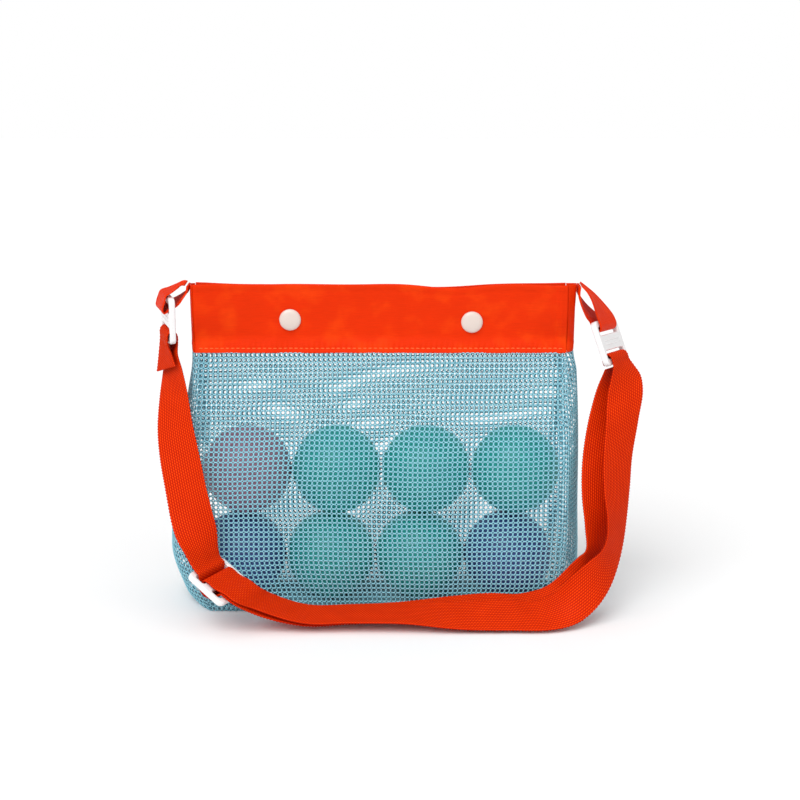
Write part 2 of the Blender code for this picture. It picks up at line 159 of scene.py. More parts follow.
def hermite(knots, rows, slopes, at):
    """Cubic pieces through the rows at their knots, read at the places in at."""
    piece = np.clip(np.searchsorted(knots, at, side="right") - 1, 0, len(knots) - 2)
    length = (knots[piece + 1] - knots[piece])[:, None]
    t = (at[:, None] - knots[piece][:, None]) / length
    start = (2 * t**3 - 3 * t**2 + 1) * rows[piece] + (t**3 - 2 * t**2 + t) * length * slopes[piece]
    end = (3 * t**2 - 2 * t**3) * rows[piece + 1] + (t**3 - t**2) * length * slopes[piece + 1]
    return start + end


def values_at(table, places):
    """Read a table of (place, value) pairs at many places, on a smooth curve that never overshoots."""
    knots, values = np.array(table, dtype=float).T
    rises = np.diff(values) / np.diff(knots)
    slopes = np.concatenate(([rises[0]], np.zeros(len(rises) - 1), [rises[-1]]))
    for i in range(1, len(rises)):
        if rises[i - 1] * rises[i] > 0:
            slopes[i] = 2 * rises[i - 1] * rises[i] / (rises[i - 1] + rises[i])
    places = np.asarray(places, dtype=float)
    return hermite(knots, values[:, None], slopes[:, None], places.ravel())[:, 0].reshape(places.shape)


def dense_route(rows, step):
    """Rows along the CAD strip's own curve, one every step millimetres."""
    rows = np.array(rows, dtype=float)
    knots = lengths_along(rows[:, :3])
    slopes = np.gradient(rows, knots, axis=0)
    count = max(int(round(knots[-1] / step)), 2)
    return hermite(knots, rows, slopes, np.linspace(0, knots[-1], count + 1))


def smoothstep(start, end, place):
    """0 before the start, 1 after the end, and a smooth rise between them."""
    t = np.clip((np.asarray(place, dtype=float) - start) / (end - start), 0.0, 1.0)
    return t * t * (3 - 2 * t)


def bump(place, middle, spread):
    """A smooth hill, 1 at its middle."""
    return np.exp(-((np.asarray(place, dtype=float) - middle) / spread) ** 2)


def round_hill(dx, dz, spread):
    """A smooth round hill, 1 where dx and dz are 0."""
    return np.exp(-(dx ** 2 + dz ** 2) / (2 * spread**2))


# ---- the pouch's surfaces

def half_depth(x, z):
    """From the bag's middle plane to its front or back, with the band's corners spread apart."""
    flare = CORNER_FLARE * smoothstep(FLARE_START, HALF_WIDTH, np.abs(x))
    return values_at(HALF_DEPTHS, z) + flare * smoothstep(BAND_BOTTOM, BAND_BOTTOM + 25, z)


def ball_middles():
    """Middles of the balls, from their CAD nodes, in millimetres."""
    places = []
    for name in sorted(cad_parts):
        if "_ball_" in name:
            low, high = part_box(name)
            places.append(tuple((low + high) / 2 / MM))
    return np.array(places)


BALLS = ball_middles()


def slack(x, z):
    """How far the net sinks in between the balls that fill it."""
    near = np.zeros_like(x)
    for ball_x, _, ball_z in BALLS:
        near = np.maximum(near, round_hill(x - ball_x, z - ball_z, 17.0))
    filled = 1.0 - smoothstep(88.0, 118.0, z)
    corners = smoothstep(0.0, 14.0, z) * (1.0 - smoothstep(96.0, 108.0, np.abs(x)))
    return 1.7 * (1.0 - near) * filled * corners


def face_surface(side, u, z):
    """Front (side -1) or back (side +1) panel: u runs 0 to 1 from the left to the right seam."""
    left = values_at(LEFT_SEAM, z)
    right = values_at(RIGHT_SEAM, z)
    x = left + (right - left) * u
    depth = half_depth(x, z) - slack(x, z)
    creases = 0.8 * np.exp(-((x + 30 + 0.5 * (z - 138)) / 5.0) ** 2 - ((z - 136) / 12.0) ** 2)
    creases += 0.6 * np.exp(-((x - 52 - 0.7 * (z - 128)) / 6.0) ** 2 - ((z - 128) / 14.0) ** 2)
    ripple = 0.35 * np.sin(x / 14.0 + 0.8 * np.sin(z / 21.0)) * smoothstep(96.0, 118.0, z)
    ripple = ripple * (1.0 - smoothstep(140.0, 152.0, z)) * (1.0 - smoothstep(94.0, 108.0, np.abs(x)))
    return np.stack((x, side * (depth - creases * (side < 0) + ripple), z), axis=-1)


def side_surface(side, across, z, end_gap=SEAM_GAP):
    """Left (side -1) or right (side +1) panel: across runs -1 to 1 from the front to the back seam."""
    seam = values_at(SEAMS[side], z)
    swell = values_at(SWELLS[side], z)
    reach = half_depth(seam, z) - MESH_THICKNESS / 2 - end_gap
    return np.stack((seam + side * swell * (1 - across * across), across * reach, z), axis=-1)


# ---- materials

def shade(colour, factor):
    """The colour made lighter or darker."""
    return tuple(min(part * factor, 1.0) for part in colour)


class Look:
    """A material being made: the inputs of its main shader, and short ways to add nodes to it."""

    def __init__(self, name, colour, roughness, sheen=0.0, coat=0.0, specular=0.5):
        self.material = bpy.data.materials.new(name)
        self.material.use_nodes = True
        self.nodes = self.material.node_tree.nodes
        self.links = self.material.node_tree.links
        self.inputs = self.nodes["Principled BSDF"].inputs
        self.inputs["Base Color"].default_value = (*colour, 1.0)
        self.inputs["Roughness"].default_value = roughness
        self.inputs["Sheen Weight"].default_value = sheen
        self.inputs["Sheen Tint"].default_value = (*shade(colour, 1.3), 1.0)
        self.inputs["Coat Weight"].default_value = coat
        self.inputs["Specular IOR Level"].default_value = specular

    def node(self, kind, settings, source, socket="Vector"):
        """A node with its inputs set, and the source linked to one of them."""
        node = self.nodes.new(kind)
        for name, value in settings.items():
            node.inputs[name].default_value = value
        self.links.new(source, node.inputs[socket])
        return node

    def attribute(self, name, output):
        """A value stored at the mesh's points."""
        node = self.nodes.new("ShaderNodeAttribute")
        node.attribute_name = name
        return node.outputs[output]

    def place(self):
        return self.nodes.new("ShaderNodeTexCoord").outputs["Object"]

    def noise(self, vector, scale, detail=3.0):
        return self.node("ShaderNodeTexNoise", {"Scale": scale, "Detail": detail}, vector).outputs["Fac"]

    def waves(self, vector, direction, settings):
        node = self.node("ShaderNodeTexWave", settings, vector)
        node.bands_direction = direction
        return node.outputs["Fac"]

    def ramp(self, factor, stops):
        """A colour for each value of the factor, from (place, colour) stops."""
        node = self.node("ShaderNodeValToRGB", {}, factor, "Fac")
        ramp = node.color_ramp
        while len(ramp.elements) < len(stops):
            ramp.elements.new(0.5)
        for element, (place, colour) in zip(ramp.elements, stops):
            element.position = place
            element.color = (*colour, 1.0)
        return node.outputs["Color"]

    def tinted_colour(self, colour, tint, amount):
        """Lead a colour to the shader, multiplied by a tint."""
        node = self.nodes.new("ShaderNodeMix")
        node.data_type = "RGBA"
        node.blend_type = "MULTIPLY"
        node.inputs["Factor"].default_value = amount
        self.links.new(colour, node.inputs["A"])
        self.links.new(tint, node.inputs["B"])
        self.links.new(node.outputs["Result"], self.inputs["Base Color"])

    def bump(self, height, strength, distance_mm, before=None):
        """Fine relief for the shader, on top of the relief before it."""
        settings = {"Strength": strength, "Distance": distance_mm * MM}
        node = self.node("ShaderNodeBump", settings, height, "Height")
        if before is not None:
            self.links.new(before, node.inputs["Normal"])
        self.links.new(node.outputs["Normal"], self.inputs["Normal"])
        return node.outputs["Normal"]


def net_material():
    """Knitted polyester: painted highlight on the crests, painted shade towards the holes' edges, with fine
    yarn.
    """
    look = Look("blue_knitted_net", NET_BLUE, 0.5, sheen=0.15, specular=0.25)
    relief = look.attribute("relief", "Fac")
    # painted highlight on the crests and painted shade towards the holes' edges, set by the relief
    strand = look.ramp(relief, [(0.0, shade(NET_BLUE, 0.62)), (0.55, NET_BLUE), (1.0, shade(NET_BLUE, 1.22))])
    place = look.place()
    tint = look.ramp(look.noise(place, 45.0), [(0.3, (0.86, 0.92, 0.96)), (0.7, NO_TINT)])
    look.tinted_colour(strand, tint, 0.8)
    look.bump(look.noise(place, 2600.0, 2.0), 0.35, 0.12)
    return look.material


def webbing_material():
    """Polypropylene webbing: painted highlight on the cords' crests and painted shade, deep red, in the gaps
    between them.
    """
    look = Look("orange_woven_webbing", ORANGE, 0.6, specular=0.05)
    relief = look.attribute("relief", "Fac")
    # painted highlight on the cords' crests and painted shade in the gaps, set by the relief
    cord = look.ramp(relief, [(0.0, (0.22, 0.004, 0.0005)), (0.4, (0.64, 0.022, 0.0008)),
                              (0.7, (0.88, 0.044, 0.001)), (1.0, (1.0, 0.14, 0.004))])
    weave = look.attribute("weave", "Vector")
    tint = look.ramp(look.noise(weave, 0.09), [(0.3, (0.9, 0.82, 0.8)), (0.7, NO_TINT)])
    look.tinted_colour(cord, tint, 0.7)
    look.bump(look.noise(weave, 3.2, 2.0), 0.5, 0.16)
    return look.material


def satin_material():
    """Plain-woven polyester with a soft sheen: fine weft lines, faint slubs and a slightly uneven dye."""
    look = Look("orange_satin_weave", ORANGE, 0.5, sheen=0.04, specular=0.06)
    look.inputs["Sheen Roughness"].default_value = 0.4
    weave = look.attribute("weave", "Vector")
    dye = look.ramp(look.noise(weave, 0.06), [(0.25, (0.76, 0.030, 0.0006)), (0.5, ORANGE),
                                              (0.8, (0.90, 0.060, 0.002))])
    stretched = look.node("ShaderNodeMapping", {"Scale": (0.12, 2.4, 1.0)}, weave).outputs["Vector"]
    slubs = look.noise(stretched, 1.0)
    look.tinted_colour(dye, look.ramp(slubs, [(0.3, (0.9, 0.86, 0.84)), (0.6, NO_TINT)]), 0.75)
    weft = look.waves(weave, "Y", {"Scale": 0.9, "Distortion": 1.2, "Detail Scale": 3.0})
    warp = look.waves(weave, "X", {"Scale": 0.8, "Distortion": 1.0})
    first = look.bump(weft, 0.30, 0.10)
    second = look.bump(warp, 0.22, 0.08, first)
    look.bump(slubs, 0.25, 0.2, second)
    return look.material


def thread_material(name, colour):
    """Sewing thread: a twisted, slightly glossy ply."""
    look = Look(name, colour, 0.45, sheen=0.15, specular=0.2)
    twist = look.noise(look.place(), 3200.0, 2.0)
    colours = look.ramp(twist, [(0.3, shade(colour, 0.8)), (0.7, shade(colour, 1.1))])
    look.links.new(colours, look.inputs["Base Color"])
    look.bump(twist, 0.4, 0.1)
    return look.material


def moulded_material(name, colour, roughness, mottle, coat=0.0):
    """Injection-moulded plastic: even colour with a very fine uneven gloss and faint flow marks."""
    look = Look(name, colour, roughness, coat=coat)
    look.inputs["Coat Roughness"].default_value = 0.12
    place = look.place()
    flow = look.noise(place, 60.0, 4.0)
    colours = look.ramp(flow, [(0.25, shade(colour, 1.0 - mottle)), (0.7, shade(colour, 1.0 + mottle))])
    look.links.new(colours, look.inputs["Base Color"])
    wear = look.noise(place, 700.0)
    span = {"To Min": roughness * 0.8, "To Max": roughness * 1.25}
    gloss = look.node("ShaderNodeMapRange", span, wear, "Value")
    look.links.new(gloss.outputs["Result"], look.inputs["Roughness"])
    look.bump(wear, 0.12, 0.08)
    return look.material


net_blue = net_material()
webbing_orange = webbing_material()
satin_orange = satin_material()
thread_orange = thread_material("orange_thread", (0.96, 0.15, 0.03))
thread_blue = thread_material("blue_thread", (0.30, 0.58, 0.68))
white_plastic = moulded_material("white_gloss_plastic", WHITE, 0.24, 0.01, coat=0.3)
# the snaps' plastic: a darker copy of the white plastic, as painted shade
shaded_snap_plastic = moulded_material("shaded_white_snap_plastic", SHADED_SNAP_WHITE, 0.3, 0.02, coat=0.2)
ball_materials = {name: moulded_material(f"{name}_soft_plastic", colour, 0.40, 0.05)
                  for name, colour in BALL_COLOURS.items()}


# ---- meshes

def add_mesh(name, points, quads, material, relief=None, weave=None):
    """A smooth-shaded mesh object from points in millimetres."""
    mesh = bpy.data.meshes.new(name)
    points = np.asarray(points, dtype=float).reshape(-1, 3)
    quads = np.asarray(quads, dtype=np.int32)
    sides = quads.shape[1]
    mesh.vertices.add(len(points))
    mesh.vertices.foreach_set("co", (points * MM).ravel())
    mesh.loops.add(quads.size)
    mesh.loops.foreach_set("vertex_index", quads.ravel())
    mesh.polygons.add(len(quads))
    mesh.polygons.foreach_set("loop_start", np.arange(len(quads), dtype=np.int32) * sides)
    mesh.update(calc_edges=True)
    mesh.validate()
    mesh.shade_smooth()
    if relief is not None:
        attribute = mesh.attributes.new("relief", "FLOAT", "POINT")
        attribute.data.foreach_set("value", np.asarray(relief, dtype=np.float32).ravel())
    if weave is not None:
        attribute = mesh.attributes.new("weave", "FLOAT_VECTOR", "POINT")
        attribute.data.foreach_set("vector", np.asarray(weave, dtype=np.float32).ravel())
    mesh.materials.append(material)
    return add_object(name, mesh)


def add_object(name, data):
    thing = bpy.data.objects.new(name, data)
    bpy.context.scene.collection.objects.link(thing)
    return thing


def grid_quads(rows, columns, closed=False):
    """Quads of a grid of points with that many rows and columns, each row joined into a ring if closed."""
    index = np.arange(rows * columns).reshape(rows, columns)
    after = np.roll(index, -1, axis=1) if closed else index[:, 1:]
    before = index if closed else index[:, :-1]
    return np.stack((before[:-1], after[:-1], after[1:], before[1:]), axis=-1).reshape(-1, 4)


def strip_solid(name, centre, outward, inward, material, relief, weave):
    """A closed strip round a middle surface: its outer face is moved out and its inner face in.

    centre, outward and inward are (rows, columns, 3). relief and both parts of weave are (rows, columns).
    """
    rows, columns = centre.shape[:2]

    def both_faces(values):
        return np.concatenate((values, values[:, ::-1]), axis=1)

    ring = np.concatenate((centre + outward, (centre + inward)[:, ::-1]), axis=1)
    quads = grid_quads(rows, 2 * columns, closed=True)
    index = np.arange(rows * 2 * columns).reshape(rows, 2 * columns)
    front = index[:, :columns]
    back = index[:, columns:][:, ::-1]
    first = np.stack((front[0, :-1], back[0, :-1], back[0, 1:], front[0, 1:]), axis=-1)
    last = np.stack((front[-1, :-1], front[-1, 1:], back[-1, 1:], back[-1, :-1]), axis=-1)
    quads = np.concatenate((quads, first, last))
    weave_ring = both_faces(np.stack((*weave, np.zeros((rows, columns))), axis=-1))
    return add_mesh(name, ring, quads, material, both_faces(relief), weave_ring)


def surface_normals(points):
    """Unit normals of a grid of points (rows, columns, 3)."""
    return unit(np.cross(np.gradient(points, axis=1), np.gradient(points, axis=0)))


def cloth_solid(name, points, thickness, material, weave):
    """A sheet with thickness around a grid of points, its four edges rounded over."""
    rows, columns = points.shape[:2]
    from_edge = np.minimum.outer(np.minimum(np.arange(rows), np.arange(rows)[::-1]),
                                 np.minimum(np.arange(columns), np.arange(columns)[::-1]))
    half = thickness / 2 * np.where(from_edge == 0, 0.35, np.where(from_edge == 1, 0.8, 1.0))
    out = surface_normals(points) * half[..., None]
    return strip_solid(name, points, out, -out, material, np.zeros((rows, columns)), weave)


def declare(piece, body, node=None):
    """Hide the CAD node a piece stands for, if one is given, and attach the piece to the body it rides on."""
    if node is not None:
        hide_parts(node)
    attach(piece, body)


# ---- net

def net_mesh(name, surface, columns, rows, keep=None):
    """Knitted net over surface(s, t): s and t count cells. Each cell has a round hole, and a small
    square hole opens where four cells meet. keep(s, t) says which cell middles are in the panel."""
    s_cell = np.repeat(np.arange(columns), rows)
    t_cell = np.tile(np.arange(rows), columns)
    if keep is not None:
        kept = keep(s_cell + 0.5, t_cell + 0.5)
        s_cell, t_cell = s_cell[kept], t_cell[kept]
    cells = len(s_cell)
    angles = np.radians(np.arange(12) * 30.0)
    radius = NET_HOLE_RADIUS / NET_PITCH
    hole_s = s_cell[:, None] + 0.5 + radius * np.cos(angles)
    hole_t = t_cell[:, None] + 0.5 + radius * np.sin(angles)
    cut = NET_SMALL_HOLE / NET_PITCH
    ring = [(1.0, 0.5), (1.0, 1 - cut), (1 - cut, 1.0), (0.5, 1.0), (cut, 1.0), (0.0, 1 - cut),
            (0.0, 0.5), (0.0, cut), (cut, 0.0), (0.5, 0.0), (1 - cut, 0.0), (1.0, cut)]
    ring_s = s_cell[:, None] + np.array([place[0] for place in ring])
    ring_t = t_cell[:, None] + np.array([place[1] for place in ring])
    crest = np.array([NET_CREST if k % 3 == 0 else NET_KNOT for k in range(12)])

    # neighbouring cells share their ring points, so each place is kept once
    keys = np.rint(np.stack((ring_s.ravel(), ring_t.ravel()), axis=-1) * 1000).astype(np.int64)
    _, first, outer = np.unique(keys, axis=0, return_index=True, return_inverse=True)
    outer = outer.reshape(cells, 12)
    edge_s = ring_s.ravel()[first]
    edge_t = ring_t.ravel()[first]
    edge_crest = np.tile(crest, cells)[first]

    step = 0.05
    over = surface(edge_s + step, edge_t) - surface(edge_s - step, edge_t)
    up = surface(edge_s, edge_t + step) - surface(edge_s, edge_t - step)
    raised = unit(np.cross(over, up)) * edge_crest[:, None]
    hole_points = surface(hole_s.ravel(), hole_t.ravel())
    edge_points = surface(edge_s, edge_t)
    points = np.concatenate((hole_points, edge_points + raised, edge_points - raised))
    edges = len(edge_points)
    hole = np.arange(cells * 12).reshape(cells, 12)
    front = outer + cells * 12
    back = front + edges
    hole_after = np.roll(hole, -1, axis=1)
    front_after = np.roll(front, -1, axis=1)
    back_after = np.roll(back, -1, axis=1)
    # an edge that only one cell has is the wall of a small hole or the panel's own border
    pairs = np.sort(np.stack((outer, np.roll(outer, -1, axis=1)), axis=-1), axis=-1).reshape(-1, 2)
    _, inverse, uses = np.unique(pairs, axis=0, return_inverse=True, return_counts=True)
    alone = uses[inverse.ravel()].reshape(cells, 12) == 1
    quads = np.concatenate((np.stack((hole, front, front_after, hole_after), axis=-1).reshape(-1, 4),
                            np.stack((hole_after, back_after, back, hole), axis=-1).reshape(-1, 4),
                            np.stack((front, back, back_after, front_after), axis=-1)[alone]))
    # relief shapes the crests and also sets the net's painted highlight and painted shade
    relief = np.concatenate((np.full(cells * 12, 0.0), edge_crest, edge_crest))
    relief = np.where(relief > 0, 0.55 + 0.45 * (relief - NET_KNOT) / (NET_CREST - NET_KNOT), 0.0)
    return add_mesh(name, points, quads, net_blue, relief=relief), cells


def wander(x, z):
    """The knitted rows and columns are never quite straight."""
    dx = 0.55 * np.sin(z / 19.0 + 1.1 * np.sin(x / 37.0)) + 0.25 * np.sin(z / 7.3 + x / 23.0)
    dz = 0.50 * np.sin(x / 24.0 + 0.9 * np.sin(z / 33.0)) + 0.22 * np.sin(x / 8.7 - z / 15.0)
    return dx, dz


def declare_net(piece, replaced):
    """Attach a net to the pouch, and hide the CAD panel it replaces."""
    declare(piece, "pouch", replaced)


def build_face_nets():
    height = NET_TOP - NET_LOW
    columns = int(round(2 * HALF_WIDTH / NET_PITCH))
    rows = int(round(height / NET_PITCH))
    for face_name, side in FACES:

        def surface(s, t, side=side):
            u = s / columns
            z = NET_LOW + height * t / rows
            dx, dz = wander(u * 2 * HALF_WIDTH + 40 * side, z)
            if side > 0:
                dz = dz + BACK_LEAN * (u - 0.5)
            inside = np.sin(np.pi * np.clip(u, 0, 1)) ** 0.5
            upright = np.sin(np.pi * np.clip(t / rows, 0, 1)) ** 0.5
            u = u + dx * inside / (2 * HALF_WIDTH)
            return face_surface(side, u, z + dz * upright)

        piece, cells = net_mesh(f"{face_name}_net", surface, columns, rows)
        declare_net(piece, f"{face_name}_mesh_panel")


def build_side_nets():
    height = NET_TOP - NET_LOW
    rows = int(round(height / NET_PITCH))
    columns = 22
    middle = columns / 2
    for side_name, side in SIDES:

        def arc(z, side=side):
            """Half the cloth's width at a height: the swollen panel is a shallow arch."""
            reach = half_depth(values_at(SEAMS[side], z), z) - MESH_THICKNESS / 2 - SEAM_GAP
            return reach * (1 + 0.55 * (values_at(SWELLS[side], z) / np.maximum(reach, 1.0)) ** 2 / 1.6)

        def surface(s, t, side=side, arc=arc):
            z = np.clip(NET_LOW + height * t / rows, 0.0, BAG_HEIGHT)
            across = np.clip((s - middle) * NET_PITCH / arc(z), -1.0, 1.0)
            return side_surface(side, across, z)

        def keep(s, t, arc=arc):
            z = NET_LOW + height * t / rows
            return np.abs(s - middle) * NET_PITCH < arc(z) + 0.3 * NET_PITCH

        piece, cells = net_mesh(f"{side_name}_side_net", surface, columns, rows, keep)
        widest = float(2 * arc(np.array([45.0]))[0])
        declare_net(piece, f"{side_name}_mesh_gusset")


def build_bottom_net():
    depth = HALF_DEPTHS[0][1] - MESH_THICKNESS / 2 - SEAM_GAP
    left = float(side_surface(-1, np.array(0.0), np.array(0.0))[0]) + MESH_THICKNESS
    right = float(side_surface(1, np.array(0.0), np.array(0.0))[0]) - MESH_THICKNESS
    columns = int(round((right - left) / NET_PITCH))
    rows = int(round(2 * depth / NET_PITCH))

    def surface(s, t):
        across = np.clip(2 * t / rows - 1, -1, 1)
        zero = np.zeros_like(across)
        start = side_surface(-1, across, zero)[..., 0] + MESH_THICKNESS
        end = side_surface(1, across, zero)[..., 0] - MESH_THICKNESS
        x = start + (end - start) * s / columns
        return np.stack((x, across * depth, zero + MESH_THICKNESS / 2), axis=-1)

    piece, cells = net_mesh("bottom_net", surface, columns, rows)
    declare_net(piece, "bottom_mesh_panel")


def build_seam_allowances():
    """The net's turned-in edges, inside each upright corner."""
    low = 3.0
    high = BAND_BOTTOM - 3.0
    rows = int(round((high - low) / NET_PITCH))
    for side_name, side in SIDES:
        for face_name, face in FACES:

            def surface(s, t, side=side, face=face):
                z = low + (high - low) * t / rows
                x = values_at(SEAMS[side], z) - side * (1.6 + SEAM_ALLOWANCE * s / 2)
                depth = half_depth(x, z) - slack(x, z) - 2 * MESH_THICKNESS - FIT_GAP
                return np.stack((x, face * depth, z), axis=-1)

            piece, _ = net_mesh(f"{face_name}_{side_name}_turned_edge", surface, 2, rows)
            declare(piece, "pouch", f"{face_name}_{side_name}_seam_allowance")


# ---- stitches

def stitch_row(name, x, y, z, face, material, body):
    """One sewn line on the front (face -1) or back (face +1), made of short arched threads end to end."""
    places = np.stack((x, y, z), axis=-1)
    lengths = lengths_along(places)
    count = max(int(lengths[-1] // STITCH_PITCH), 1)
    steps, sides = 7, 8
    share = np.linspace(-1, 1, steps)
    up = np.tile((0.0, float(face), 0.0), (steps, 1))
    thick = STITCH_RADIUS * np.sqrt(np.maximum(1 - (share * 0.985) ** 4, 0.0))
    arch = up * (STITCH_LIFT - 0.55 * STITCH_RADIUS * share**2)[:, None]
    round_thread = np.arange(sides) / sides * 2 * np.pi
    points = []
    quads = []
    for number in range(count):
        middle = (number + 0.5) * lengths[-1] / count
        at = np.clip(middle + share * STITCH_LENGTH / 2, 0, lengths[-1])
        line = np.stack([np.interp(at, lengths, places[:, k]) for k in range(3)], axis=-1)
        beside = np.cross(unit(np.gradient(line, axis=0)), up)
        line = line + arch
        circle = (line[:, None] + beside[:, None] * (thick[:, None] * np.cos(round_thread))[..., None]
                  + up[:, None] * (thick[:, None] * np.sin(round_thread))[..., None])
        points.append(circle.reshape(-1, 3))
        quads.append(grid_quads(steps, sides, closed=True) + number * sides * steps)
    piece = add_mesh(name, np.concatenate(points), np.concatenate(quads), material)
    declare(piece, body)


def build_corner_stitches():
    """Sewn lines down the four upright corners and round the base."""
    z = np.linspace(4.0, BAND_BOTTOM - 3.0, 90)
    for side_name, side in SIDES:
        for face_name, face in FACES:
            x = values_at(SEAMS[side], z) - side * 1.4
            y = face * (half_depth(x, z) - slack(x, z) + 0.25)
            name = f"{face_name}_{side_name}_corner_stitches"
            stitch_row(name, x, y, z, face, thread_blue, "pouch")
    x = np.linspace(-99.0, 100.5, 90)
    for face_name, face in FACES:
        z = np.full_like(x, 2.2)
        y = face * (half_depth(x, z) + 0.25)
        stitch_row(f"{face_name}_base_stitches", x, y, z, face, thread_blue, "pouch")


# ---- mouth band

def band_offset(side, x, z):
    """How far the band stands out of its flat surface: soft waves, a raised hem and puckered stitches."""
    up = (z - BAND_BOTTOM) / (BAG_HEIGHT - BAND_BOTTOM)
    inside = 1.0 - smoothstep(98.0, HALF_WIDTH, np.abs(x))
    waves = 0.42 * np.sin(x / 17.0 + 1.3 * side) * np.sin(np.pi * np.clip(up, 0, 1))
    waves += 0.25 * np.sin(x / 7.5 + 2.0 * up + side) * bump(up, 0.75, 0.3)
    flat = np.ones_like(x)
    for _, snap_x, snap_z in SNAPS:
        flat = flat * (1.0 - round_hill(x - snap_x, z - snap_z, 5.5))
        pull = round_hill(x - snap_x, (z - snap_z) * 0.7, 12.0)
        waves = waves - 0.35 * pull * np.cos(np.arctan2(z - snap_z, x - snap_x) * 4)
    groove = -0.30 * bump(z, STITCH_Z, 0.8)
    pucker = 0.20 * np.sin(2 * np.pi * x / STITCH_PITCH) * bump(z, STITCH_Z + 1.2, 2.2)
    pucker = pucker + 0.22 * np.sin(x / 3.4 + 1.2 * np.sin(x / 11.0)) * bump(z, STITCH_Z + 3.0, 4.0)
    hem = 0.12 * bump(z, BAND_BOTTOM + 0.6, 1.0)
    roll = 0.16 * bump(z, BAG_HEIGHT - 1.6, 1.8) - 0.12 * bump(z, BAG_HEIGHT - 4.4, 1.2)
    ridge = 0.5 * bump(x, 104.5, 1.3) - 0.3 * bump(x, 101.5, 1.4) if side < 0 else 0.0
    return (waves * flat * inside + (groove + pucker) * inside + hem + roll) + ridge


def band_top(side, x):
    """The mouth's edge dips a little where the snaps pull on it."""
    if side < 0:
        return -2.3 * bump(x, 42.0, 26.0) - 0.5 * bump(x, -38.0, 22.0) + 0.3 * np.sin(x / 9.0)
    return -1.4 - 1.6 * bump(x, 30.0, 30.0) - 0.9 * bump(x, -45.0, 24.0) + 0.3 * np.sin(x / 10.0 + 1.0)


def build_face_bands():
    rows, columns = 64, 300
    for face_name, side in FACES:
        name = f"{face_name}_mouth_band"
        body = f"{face_name}_mouth"
        u, v = np.meshgrid(np.linspace(0, 1, columns), np.linspace(0, 1, rows) ** 1.15)
        z = BAND_LOW + (BAG_HEIGHT - BAND_LOW) * v
        left = values_at(LEFT_SEAM, z) + 0.3
        right = values_at(RIGHT_SEAM, z) - 0.3
        x = left + (right - left) * u
        offset = band_offset(side, x, z)
        lowered = z + band_top(side, x) * smoothstep(0.45, 1.0, v) - BAND_DROP
        points = np.stack((x, side * (half_depth(x, z) + offset), lowered), axis=-1)
        if side > 0:
            points = points[:, ::-1]
            x = x[:, ::-1]
        piece = cloth_solid(name, points, BAND_THICKNESS, satin_orange, (x, z))
        declare(piece, body, f"{face_name}_band")
        x = np.linspace(-106.0, 106.0, 260)
        z = np.full_like(x, STITCH_Z) - BAND_DROP
        y = side * (half_depth(x, z) + band_offset(side, x, z) + BAND_THICKNESS / 2)
        stitch_row(f"{name}_stitches", x, y, z, side, thread_orange, body)


def build_side_bands():
    """The side band folds along its middle when the mouth opens; each is made here in two halves, front and
    back.
    """
    rows, columns = 40, 26
    fold_heights = {-1: 0.12, 1: 0.55}
    hinge_z = 170.0
    for side_name, side in SIDES:
        for face_name, face in FACES:
            share, v = np.meshgrid(np.linspace(0, 1, columns), np.linspace(0, 1, rows))
            z = BAND_LOW + (BAG_HEIGHT - 0.6 - BAND_LOW) * v
            if face > 0:
                z = z - 1.3 * share * smoothstep(0.45, 1.0, v)
            across = face * share
            points = side_surface(side, across, z, 0.25)
            fold = fold_heights[side] * np.sin(across * 5.0 + 0.12 * (z - BAND_BOTTOM))
            fold = fold * np.sin(np.pi * share) * (0.3 + 0.7 * v)
            pucker = 0.18 * np.sin(across * 21.0) * bump(z, STITCH_Z + 1.0, 2.5)
            points[..., 0] += side * (fold + pucker - 0.2 * bump(z, STITCH_Z, 0.8))
            if face * side > 0:
                points = points[:, ::-1]
                across = across[:, ::-1]
            piece = cloth_solid(f"{face_name}_{side_name}_side_band", points, BAND_THICKNESS, satin_orange,
                                (across * 8.0, z))
            seam = values_at(SEAMS[side], np.array(hinge_z)) * MM
            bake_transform(piece)
        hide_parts(f"{side_name}_side_band")


# ---- snaps

def turned_mesh(name, profile, place, facing, material, steps=64):
    """A turned piece: (radius, height) points about its own Z, which is then laid along facing."""
    profile = np.array(profile, dtype=float)
    angles = np.arange(steps) / steps * 2 * np.pi
    radius, height = profile[:, 0][:, None], profile[:, 1][:, None]
    points = np.stack((radius * np.cos(angles), radius * np.sin(angles), height + 0 * angles), axis=-1)
    turn = np.array(Vector(facing).to_track_quat("Z", "Y").to_matrix())
    points = points @ turn.T + np.array(place)
    return add_mesh(name, points, grid_quads(len(profile), steps, closed=True)[:, ::-1], material)


def cap_profile(radius, height):
    """From the middle of the dome, over its rounded rim and in under its flat underside."""
    points = [(0.02, height)]
    for i in range(1, 15):
        angle = math.pi / 2 * (1 - i / 15)
        points.append((radius * math.cos(angle) * 0.985, 0.75 + (height - 0.75) * math.sin(angle)))
    points += [(radius, 0.62), (radius, 0.35), (radius * 0.985, 0.12), (radius * 0.95, 0.02), (0.02, 0.02)]
    return points


def build_snaps():
    profile = cap_profile(SNAP_CAP_RADIUS, SNAP_CAP_HEIGHT)
    for side_name, x, z in SNAPS:
        face = float(values_at(HALF_DEPTHS, np.array(z))) + BAND_THICKNESS / 2 + FIT_GAP
        for face_name, y, node in (("front", -1, "snap_cap"), ("back", 1, "snap_back_cap")):
            piece = turned_mesh(f"{side_name}_{face_name}_cap", profile, (x, y * (face - 0.15), z), (0, y, 0),
                                shaded_snap_plastic)
            declare(piece, f"{face_name}_mouth", f"{side_name}_{node}")


# ---- three-bar rings

